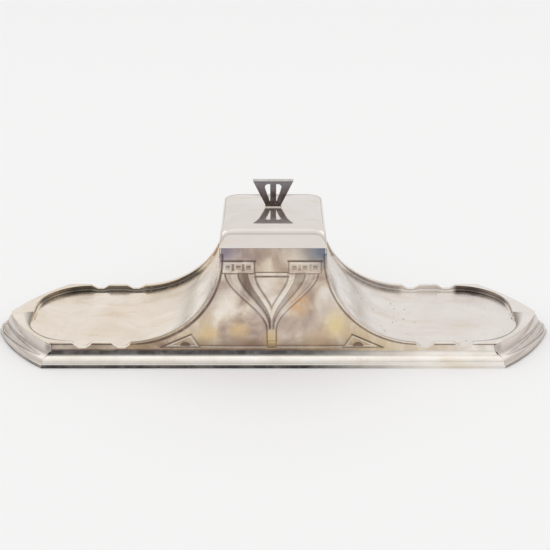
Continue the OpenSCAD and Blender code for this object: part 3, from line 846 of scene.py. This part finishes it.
# The band stands higher than the side moulding, so its cut end is closed at the mitre
corner = Vector((CORNER_X, -PANEL_FOOT, END_LINE[-1][1] * MM)) - quarter.location
bpy.ops.mesh.select_all(action="DESELECT")
bm = bmesh.from_edit_mesh(quarter.data)
min(bm.verts, key=lambda v: (v.co - corner).length).select_set(True)
bmesh.update_edit_mesh(quarter.data)
bpy.ops.mesh.extrude_region_move(TRANSFORM_OT_translate={"value": (0, 0, -4.4 * MM)})
bm = bmesh.from_edit_mesh(quarter.data)
for v in bm.verts:
    place = v.co + quarter.location
    off_mitre = abs((place.x - HALF_STRAIGHT) + MITRE * (place.y + HALF_DEP))
    v.select_set(off_mitre < 0.0002 and place.z > 8.3 * MM and (v.is_boundary or v.is_wire))
bm.select_flush_mode()
bmesh.update_edit_mesh(quarter.data)
bpy.ops.mesh.edge_face_add()
place_applied(quarter)
for v in quarter.data.vertices:
    groove, inside = leaf_form(v.co.x / MM, v.co.y / MM)
    v.co.z -= (0.26 * groove + 0.12 * inside) * MM
    drop = (0.16 * groove + 0.08 * inside) * MM
    away = Vector((v.co.x - END_CX, v.co.y - END_CY, 0)).normalized()
    v.co.x -= away.x * drop
    v.co.y -= away.y * drop
probe = min(quarter.data.polygons, key=lambda f: abs(f.center.z - 0.005) + abs(f.center.y + 0.02))
face_out(quarter, probe.normal.x < 0)
other = mirrored(quarter, "right_plinth_quarter_back", "Y")
right_end = joined("right_plinth_end", quarter, other)
whole(right_end, (bpy.ops.mesh.remove_doubles, {"threshold": 0.00003}))
finish_modifier(right_end, "SOLIDIFY", thickness=MOULDING_WALL, offset=-1.0)
smooth(right_end, 35)


def end_tarnish(strength):
    def rule(x, y, z):
        groove, inside = leaf_form(x, y)
        # The foot lip below 1.9 mm is a painted dark reflection; the leaf and the other lines are tarnish.
        painted_lip_reflection = (0.75 if z < 1.9 else 0.0)
        return strength * max(groove, 0.22 * inside, painted_lip_reflection, 0.5 * line_at(z, 8.2, 0.7),
                              0.3 * line_at(z, 2.6, 0.5),
                              0.6 * line_at(abs(x), 131.5, 3.2) * line_at(z, 11.5, 3.5))
    return rule


left_end = mirrored(right_end, "left_plinth_end", "X")
tint(right_end, end_tarnish(0.75))
tint(left_end, end_tarnish(1.0))
piece(right_end, "stand", "moulding_plate", end_plate, "right_end_moulding")
piece(left_end, "stand", "moulding_plate", end_plate, "left_end_moulding")


# ---------------- panels and their relief

PANEL_GAP = 0.02 * MM
# The stamped pattern, in millimetres: its middle, the square groups, the ribbons' top, the bar, the triangles
MIDDLE = -0.9
GROUP_OUT, GROUP_IN, GROUP_Z, GROUP_TOP = 28.3, 10.3, 55.1, 61.3
SQUARE_PITCH, SQUARE_HALF, SQUARE_Z = 6.0, 2.15, 58.2
RIBBON_TOP = 55.2
BAR_Z, BAR_TOP = 53.5, 55.0
NEAR, FAR, APEX = (42.6, 11.7), (63.4, 11.5), (47.2, 18.4)
EYE_X, EYE_Z = 50.6, 11.9


def stroke(z, top, bottom, wide, narrow):
    return lerp(wide, narrow, ease((top - z) / (top - bottom)))


def edge_pair(s, z, outer, inner):
    """Signed distance into a ribbon, square to its edges."""
    o, i = outer(z), inner(z)
    lean_o = abs(outer(z - 0.5) - outer(z + 0.5))
    lean_i = abs(inner(z - 0.5) - inner(z + 0.5))
    return min((o - s) / math.hypot(1, lean_o), (s - i) / math.hypot(1, lean_i))


def outer_out(z):
    return stroke(z, RIBBON_TOP, 22, 26.6, 2.4)


def outer_in(z):
    return stroke(z, RIBBON_TOP, 24, 19.8, 1.5)


def inner_out(z):
    return stroke(z, RIBBON_TOP, 26, 13.6, 0.5)


def inner_in(z):
    return stroke(z, 53.4, 31, 9.8, -0.3)


def raised(d, height, rim=0.55, sink=0.18):
    """Height of a stamped ribbon at a distance into it: a soft rise, a border, and a slightly sunk middle."""
    if d <= -0.05:
        return 0.0
    return height * ease((d + 0.05) / 0.45) - sink * ease((d - rim - 0.25) / 0.5)


def stamped(x, z):
    """Height, tarnish with painted shade between the ribbons, and painted highlight of the front's stamped
    pattern: millimetres, then 0 to 1.
    """
    s = abs(x - MIDDLE)
    left = x < MIDDLE
    side = 1.0 if left else 0.7
    h = t = b = 0.0
    if 21.5 < z < 55.4:
        d = edge_pair(s, z, outer_out, outer_in)
        h = max(h, raised(d, 0.5))
        t = max(t, 0.95 * side * line_at(d, -0.35, 0.75), 0.2 * line_at(d, 1.5, 1.4))
        b = max(b, 0.75 * line_at(d, 0.55, 0.75), 0.35 * ease(d / 0.6))
        d2 = edge_pair(s, z, inner_out, inner_in)
        h = max(h, raised(d2, 0.42, 0.4, 0.14))
        t = max(t, 0.8 * side * line_at(d2, -0.35, 0.7))
        b = max(b, 0.8 * line_at(d2, 0.5, 0.7), 0.45 * ease(d2 / 0.5))
        # Painted shade across the valley between the two ribbons
        if inner_out(z) + 0.2 < s < outer_in(z) - 0.2:
            t = max(t, 0.62 * side)
    if 14.8 < z < 23.5:
        d = 2.35 - s
        h = max(h, raised(d, 0.5, 0.4, 0.15))
        t = max(t, 0.8 * line_at(d, -0.35, 0.6))
        b = max(b, 0.7 * ease(d / 0.5))
    if 11.0 < z < 15.4:
        d = min(2.4 - s, z - 11.3, 15.3 - z)
        h = max(h, 0.62 * ease(d / 0.4) if d > 0 else 0.0)
        t = max(t, 0.8 * line_at(d, -0.2, 0.45), 0.35 * line_at(z, 13.2, 0.8) * ease(d / 0.3))
    # square groups
    if GROUP_Z - 1.2 < z < GROUP_TOP + 1.5 and GROUP_IN - 1.2 < s < GROUP_OUT + 1.2:
        d = min(s - GROUP_IN, GROUP_OUT - s, z - GROUP_Z, GROUP_TOP - z)
        if d > 0:
            h = max(h, 0.5 * ease(d / 0.35) - 0.38 * ease((d - 0.75) / 0.3))
            t = (0.62 if left else 0.22) * ease((d - 0.8) / 0.3)
            b = 0.75 * line_at(d, 0.45, 0.6)
        t = max(t, 0.85 * side * line_at(d, -0.35, 0.6))
        if z > GROUP_TOP:
            t = max(t, 0.95 * line_at(z, GROUP_TOP + 0.55, 0.85))
        k = min(2, max(0, int((s - GROUP_IN) / SQUARE_PITCH)))
        q = SQUARE_HALF - max(abs(s - GROUP_IN - SQUARE_PITCH / 2 - SQUARE_PITCH * k), abs(z - SQUARE_Z))
        if q > 0:
            h = max(h, 0.12 + 0.36 * ease(q / 0.3) - 0.34 * ease((q - 0.65) / 0.3))
            if q < 0.75:
                t, b = 0.1, 0.75
            else:
                t, b = (0.7 if left else 0.5) * (1.0 if z > SQUARE_Z else 0.5), 0.2
    # link bar
    if s < GROUP_IN:
        bar = min(z - BAR_Z, BAR_TOP - z)
        h = max(h, 0.4 * ease(bar / 0.4) if bar > 0 else 0.0)
        b = max(b, 0.7 * ease(bar / 0.4) if bar > 0 else 0.0)
        t = max(t, 0.85 * line_at(z, 55.35, 0.5), 0.95 * line_at(z, 52.9, 0.75))
    # base lines
    if s < 60:
        h = max(h, 0.25 * line_at(z, 11.3, 0.45))
        fade = 1.0 if s < 42 else max(0.0, 1 - (s - 42) / 14)
        t = max(t, 0.6 * fade * line_at(z, 12.2, 0.55))
        b = max(b, 0.5 * fade * line_at(z, 11.3, 0.5))
    t = max(t, 0.95 * ease((10.3 - z) / 0.6) * (1.0 - ease((x - 8) / 50)))
    # corner triangles, each with an arched eye
    if 40 < s < 66 and z < 20:
        def off(p, q):
            ex, ez = q[0] - p[0], q[1] - p[1]
            return ((z - p[1]) * ex - (s - p[0]) * ez) / math.hypot(ex, ez)
        d = min(off(NEAR, FAR), off(FAR, APEX), off(APEX, NEAR))
        if d > 0:
            h = max(h, 0.48 * ease(d / 0.35) - 0.30 * ease((d - 0.8) / 0.35))
            t *= 0.2
            b = max(0.75 * line_at(d, 0.5, 0.65), (0.9 if left else 0.5) * line_at(off(APEX, NEAR), 0.6, 0.9))
        if d > -1.2:
            t = max(t, (0.95 if off(FAR, APEX) < 0.2 else 0.55) * line_at(d, -0.35, 0.7),
                    0.3 * line_at(d, 1.2, 0.4))
            eye = 1 - math.hypot((s - EYE_X) / 3.5, (z - EYE_Z) / 2.9)
            if eye > 0 and z > EYE_Z:
                h -= 0.25 * ease(eye / 0.25)
                t = max(t, 0.85 * ease(eye / 0.2))
    # dark line and bead along the rim
    ax = abs(x)
    e = (math.hypot(min(0.0, ax - 86) / 55, min(0.0, z - 64) / 49.8) - 1) * 52
    if z < 66 and (e > 0.3 or ax > 31):
        wide = 0.6 + (0.7 if left else 0.25) * line_at(ax, 52, 30)
        t = max(t, (0.95 if left else 0.8) * line_at(e, 0.75 + wide, wide))
        h = max(h, 0.22 * line_at(e, 0.65, 0.7))
        b = max(b, 0.5 * line_at(e, 0.5, 0.6)) if not left else b
    return h, t, b


def spaced(*runs):
    """Places along a line, in runs of (from, to, step)."""
    out = []
    for a, b, step in runs:
        n = max(1, round((b - a) / step))
        out += [lerp(a, b, k / n) for k in range(n)]
    return out + [runs[-1][1]]


PLAIN_X = 119
half_x = spaced((0, 31, 0.42), (31, 31.06, 0.06), (31.06, 41.5, 0.75), (41.5, 64, 0.5), (64, 82, 1.8),
                (82, PLAIN_X, 0.6), (PLAIN_X, CORNER_X / MM - 0.5, 2.0))
XS = [-v for v in reversed(half_x[1:])] + half_x
foot = FOOT_Z / MM
ZS = spaced((foot, 10.6, 0.5), (10.6, 15.6, 0.33), (15.6, 51.8, 0.85), (51.8, 62.8, 0.34),
            (62.8, BLOCK_Z / MM, 1.0))
ZS = [(z - foot) / (BLOCK_Z / MM - foot) for z in ZS]


def panel_end(z):
    """Distance from the middle at which the panel meets the end moulding, at a height."""
    return (END_CX + math.sqrt(DECK_R ** 2 - (END_CY + face(z * MM)) ** 2)) / MM + 0.08


def panel_point(i, j):
    x = XS[j]
    top = rim_height(abs(x) * MM) / MM
    z = lerp(foot, top, ZS[i])
    h = stamped(x, z)[0]
    edge = min(1.0, (top - z) / 0.25, (z - foot) / 0.25)
    if abs(x) > PLAIN_X:
        x = math.copysign(lerp(PLAIN_X, panel_end(z), (abs(x) - PLAIN_X) / (half_x[-1] - PLAIN_X)), x)
    return x * MM, -(face(z * MM) + max(-0.2, h) * edge * MM - PANEL_GAP), z * MM


def panel_tarnish(x, y, z):
    return stamped(x, z)[1] if y < 0 else 0.1


def closed_behind(obj, thick):
    """Turns the sheet's edge back and closes it behind."""
    only(obj)
    bpy.ops.object.mode_set(mode="EDIT")
    bpy.ops.mesh.select_mode(type="EDGE")
    bpy.ops.mesh.select_all(action="DESELECT")
    bpy.ops.mesh.select_non_manifold()
    bpy.ops.mesh.extrude_region_move(TRANSFORM_OT_translate={"value": (0, thick, 0)})
    bpy.ops.mesh.edge_face_add()
    bpy.ops.mesh.select_mode(type="VERT")
    bpy.ops.mesh.select_all(action="SELECT")
    bpy.ops.mesh.normals_make_consistent(inside=False)
    bpy.ops.object.mode_set(mode="OBJECT")


front_panel = pressed_sheet("front_panel_pressing", len(ZS) - 1, len(XS) - 1, panel_point, weld=False)
closed_behind(front_panel, PANEL_WALL)
smooth(front_panel, 60)
# Tarnish with painted shade in the valleys, stored on the front
tint(front_panel, panel_tarnish)
# A painted highlight along the raised edges, stored on the front
tint(front_panel, lambda x, y, z: stamped(x, z)[2] if y < 0 else 0.0, "painted_highlight")

outline = [(x * MM, rim_height(abs(x) * MM)) for x in XS]
outline = [(outline[0][0], FOOT_Z)] + outline + [(outline[-1][0], FOOT_Z)]
back_panel = drawn_plate("back_panel_pressing", outline, PANEL_WALL)
slope = math.atan(LEAN)
foot_line = {"orient_axis": "X", "center_override": (0, PANEL_FOOT - PANEL_GAP, FOOT_Z)}
whole(back_panel,
      (bpy.ops.transform.resize, {"value": (1, 1, 1 / math.cos(slope)), "center_override": (0, 0, FOOT_Z)}),
      (bpy.ops.transform.translate, {"value": (0, PANEL_FOOT - PANEL_WALL - PANEL_GAP, 0)}),
      (bpy.ops.transform.rotate, {"value": -slope, **foot_line}))
# Which way a turn goes depends on whether there is a window, so a panel that leans out is turned back in
if max(v.co.y for v in back_panel.data.vertices if v.co.z > BLOCK_Z - 0.002) > PANEL_FOOT:
    whole(back_panel, (bpy.ops.transform.rotate, {"value": 2 * slope, **foot_line}))
smooth(back_panel, 30)
tint(back_panel, lambda x, y, z: 0.12)
piece(front_panel, "stand", "stained_plate", stained_plate, "front_panel")
piece(back_panel, "stand", "stained_plate", stained_plate, "back_panel")


# ---------------- lid

lid_z = lid_box[0][2]
LID_TALL = lid_box[1][2] - lid_z
# Rings from the rim to the crown: drop in width, height above the rim, corner radius, in millimetres
RINGS = [(0.0, 0.0, 0.02), (0.05, 0.8, 0.3), (0.12, 2.5, 1.0), (0.22, 4.2, 2.0), (0.38, 6.0, 3.0),
         (0.55, 7.6, 4.0), (0.90, 9.2, 5.2),
         (1.5, 10.4, 6.4), (2.5, 11.3, 7.6), (4.1, 11.95, 8.8), (6.5, 12.42, 10.4), (10.0, 12.9, 12.5),
         (14.0, 13.4, 14.5), (20.0, 13.95, 11.0),
         (26.0, 14.18, 5.0), (30.3, 14.2, 0.7)]
rings = curve_through(RINGS, 4)
SIDE_STEPS, TURN_STEPS = 14, 12
LID_COLS = 4 * (2 * SIDE_STEPS + TURN_STEPS)


def ring_point(drop, radius, j):
    """A point of a rounded square ring, drawn from the middle of each side round the corner to the next."""
    wx, wy = BLOCK_WID - drop * MM, BLOCK_DEP - drop * MM
    rad = min(radius * MM, wx * 0.999, wy * 0.999)
    q, k = divmod(j % LID_COLS, LID_COLS // 4)
    ax, ay = (wx, wy) if q % 2 == 0 else (wy, wx)
    if k <= SIDE_STEPS:
        u, v = ax, (ay - rad) * (k / SIDE_STEPS)
    elif k <= SIDE_STEPS + TURN_STEPS:
        a = math.pi / 2 * (k - SIDE_STEPS) / TURN_STEPS
        u, v = ax - rad + rad * math.cos(a), ay - rad + rad * math.sin(a)
    else:
        u, v = (ax - rad) * (1 - (k - SIDE_STEPS - TURN_STEPS) / SIDE_STEPS), ay
    return ((u, v), (-v, u), (-u, -v), (v, -u))[q]


def lid_point(i, j):
    drop, up, radius = rings[i]
    x, y = ring_point(drop, radius, j)
    return x, y, lid_z + up * MM * LID_TALL / (RINGS[-1][1] * MM)


lid = pressed_sheet("lid_pressing", len(rings) - 1, LID_COLS, lid_point)
only(lid)
bpy.ops.object.mode_set(mode="EDIT")
bpy.ops.mesh.select_all(action="DESELECT")
bm = bmesh.from_edit_mesh(lid.data)
for e in bm.edges:
    if e.is_boundary and min(v.co.z for v in e.verts) > lid_z + 10 * MM:
        e.select_set(True)
bmesh.update_edit_mesh(lid.data)
bpy.ops.mesh.edge_face_add()
outward(lid)
top = max(lid.data.polygons, key=lambda f: f.center.z)
face_out(lid, top.normal.z < 0)
finish_modifier(lid, "SOLIDIFY", thickness=LID_WALL, offset=-1.0)
smooth(lid, 45)
piece(lid, "lid", "bright_plate", lid_plate, "lid_shell")


# ---------------- knob

K_TOP = knob_box[1][2]
K_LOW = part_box("finial_foot")[1][2]
K_HALF = knob_box[1][0]
K_THICK = knob_box[1][1] - knob_box[0][1]
foot_half = 4.35 * MM
tall = K_TOP - K_LOW


def knob_edge(t):
    """Half width of the knob at a share of its height."""
    return lerp(foot_half, K_HALF, t)


knob = drawn_plate("knob", [(-foot_half, K_LOW), (foot_half, K_LOW), (K_HALF, K_TOP), (-K_HALF, K_TOP)],
                   K_THICK, at=-K_THICK / 2)
for side in (-1, 1):
    hole = [(1.75, 0.86), (1.75, 0.15), (2.05, 0.12)]
    for t in (0.25, 0.4, 0.55):
        hole.append((knob_edge(t) / MM - 3.15 - 2.1 * t, t))
    top_x = knob_edge(0.70) / MM - 4.72
    for k in range(0, 6):
        a = math.pi / 2 * k / 5
        hole.append((top_x - 1.9 + 1.9 * math.cos(a), 0.72 + 0.14 * math.sin(a)))
    cutter = drawn_plate("cutter", [(side * x * MM, K_LOW + t * tall) for x, t in hole], K_THICK * 2,
                         at=-K_THICK)
    only(knob)
    mod = knob.modifiers.new("opening", "BOOLEAN")
    mod.operation = "DIFFERENCE"
    mod.solver = "EXACT"
    mod.object = cutter
    bpy.ops.object.modifier_apply(modifier=mod.name)
    bpy.data.objects.remove(cutter, do_unlink=True)
finish_modifier(knob, "BEVEL", width=0.22 * MM, segments=3, limit_method="ANGLE", angle_limit=math.radians(40))
nothing_selected()
stud_low, stud_top = knob_box[0][2], K_LOW + 0.5 * MM
bpy.ops.mesh.primitive_cylinder_add(vertices=24, radius=1.5 * MM, depth=stud_top - stud_low,
                                    location=(0, 0, (stud_top + stud_low) / 2))
stud = bpy.context.object
bpy.ops.object.transform_apply(location=True, rotation=True, scale=True)
finish_modifier(stud, "BEVEL", width=0.2 * MM, segments=2, limit_method="ANGLE", angle_limit=math.radians(40))
knob = joined("openwork_knob", knob, stud)
smooth(knob, 35)
piece(knob, "lid", "dark_plate", dark_plate, "finial")


# ---------------- pot

POT_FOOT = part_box("ink_pot")[0][2]
POT_STEPS = 96
seat = (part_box("top_frame")[1][2] - POT_FOOT) / MM
pot_line = curve_through([(0, 0.9), (10, 0.7), (15, 0.15), (18.5, 0.02), (21.6, 0.5), (22.9, 2.2)], 5)[:-1] + \
    [(22.98, 4), (23, 12), (23, 24), (23, 36), (23, seat - 0.02), (23.3, seat), (24.4, seat)] + \
    curve_through([(25.2, seat), (25.48, seat + 0.5), (25.48, seat + 1.6), (24.9, 41.85), (23.6, 42.0),
                   (21.0, 42.0), (19.9, 41.7), (19.5, 40.8)], 4)[:-1] + \
    [(19.5, 38), (19.5, 26), (19.5, 14)] + curve_through([(19.5, 9), (18.9, 6.2), (16.5, 4.2), (10, 3.6),
                                                          (0, 3.5)], 5)


def pot_point(i, j):
    r, z = pot_line[i]
    a = 2 * math.pi * j / POT_STEPS
    return r * MM * math.cos(a), r * MM * math.sin(a), POT_FOOT + z * MM


pot = pressed_sheet("glass_pot", len(pot_line) - 1, POT_STEPS, pot_point)
outward(pot)
smooth(pot, 40)
piece(pot, "stand", "clear_glass", pot_glass, "ink_pot")


# ---------------- finishes on the other pieces

def paint(node, material):
    """Gives a CAD node that stays its finish."""
    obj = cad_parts[node]
    if obj.material_slots:
        for s in obj.material_slots:
            s.material = material
    else:
        obj.data.materials.append(material)


for material, nodes in ((bare_brass, ("top_frame", "hinge_pin", "base_plate", "base_lugs", "base_screws",
                                      "finial_nut")),
                        (hinge_plate, ("hinge_body_leaf", "lid_bezel", "hinge_lid_leaf")),
                        (lid_plate, ("finial_foot",)), (baize_cloth, ("baize_pad",))):
    for node in nodes:
        paint(node, material)


# ---------------- studio

PAPER_WIDTH = 60
LIGHT_SIZE, LIGHT_POWER = (0.7, 0.9), 0.8
TENT_STRENGTH = 0.97
CAMERA_PLACE, CAMERA_TILT, LENS = (0.00106, -0.6704, 0.3321), 66.37, 78.55

nothing_selected()
bpy.ops.mesh.primitive_plane_add(size=1, location=(0, 0, 0))
floor = bpy.context.object
floor.name = "studio_floor"
whole(floor, (bpy.ops.transform.resize, {"value": (PAPER_WIDTH, PAPER_WIDTH, 1)}))
paper = Finish("studio paper", ("Base Color", (0.955, 0.955, 0.955, 1)), ("Roughness", 0.9))
floor.data.materials.append(paper.mat)


def soft_light(name, location, target):
    data = bpy.data.lights.new(name, "AREA")
    data.shape = "RECTANGLE"
    data.size, data.size_y = LIGHT_SIZE
    data.energy = LIGHT_POWER
    obj = bpy.data.objects.new(name, data)
    bpy.context.scene.collection.objects.link(obj)
    obj.location = location
    obj.rotation_euler = (Vector(target) - Vector(location)).to_track_quat("-Z", "Y").to_euler()


soft_light("left_light", (-1.2, -0.1, 0.9), (0, 0, 0.03))
soft_light("right_light", (1.2, -0.1, 0.9), (0, 0, 0.03))

world = bpy.data.worlds.new("studio")
bpy.context.scene.world = world
world.use_nodes = True
tree = world.node_tree
tree.nodes.clear()
split = new_node(tree, "SeparateXYZ", (0, new_node(tree, "TexCoord").outputs["Generated"]))
# A pale tent: bright above and behind, a little darker low down in front
up = new_ramp(tree, split.outputs["Z"], (0.0, (0.62, 0.60, 0.585)), (0.20, (0.80, 0.79, 0.78)),
              (0.50, (0.92, 0.915, 0.91)), (0.85, (1.06, 1.05, 1.04)))
horizon = new_ramp(tree, split.outputs["Z"], (0.0, (0.50, 0.48, 0.46)), (0.07, (0.66, 0.64, 0.62)),
                   (0.16, (0.92, 0.92, 0.925)))
behind = new_node(tree, "MapRange", ("Value", split.outputs["Y"]), ("From Min", -0.35), ("From Max", 0.35))
mix = tree.nodes.new("ShaderNodeMix")
mix.data_type = "RGBA"
for socket, value in ((0, behind.outputs[0]), (6, up), (7, horizon)):
    tree.links.new(value, mix.inputs[socket])
tent = new_node(tree, "Background", (0, mix.outputs[2]), (1, TENT_STRENGTH))
new_node(tree, "OutputWorld", (0, tent.outputs[0]))

cam_data = bpy.data.cameras.new("camera")
cam_data.sensor_width = 36
cam_data.lens = LENS
cam = bpy.data.objects.new("camera", cam_data)
bpy.context.scene.collection.objects.link(cam)
cam.location = CAMERA_PLACE
cam.rotation_euler = (math.radians(CAMERA_TILT), 0, 0)
cam_data.clip_start = 0.01
bpy.context.scene.camera = cam
bpy.context.scene.view_settings.view_transform = "Standard"
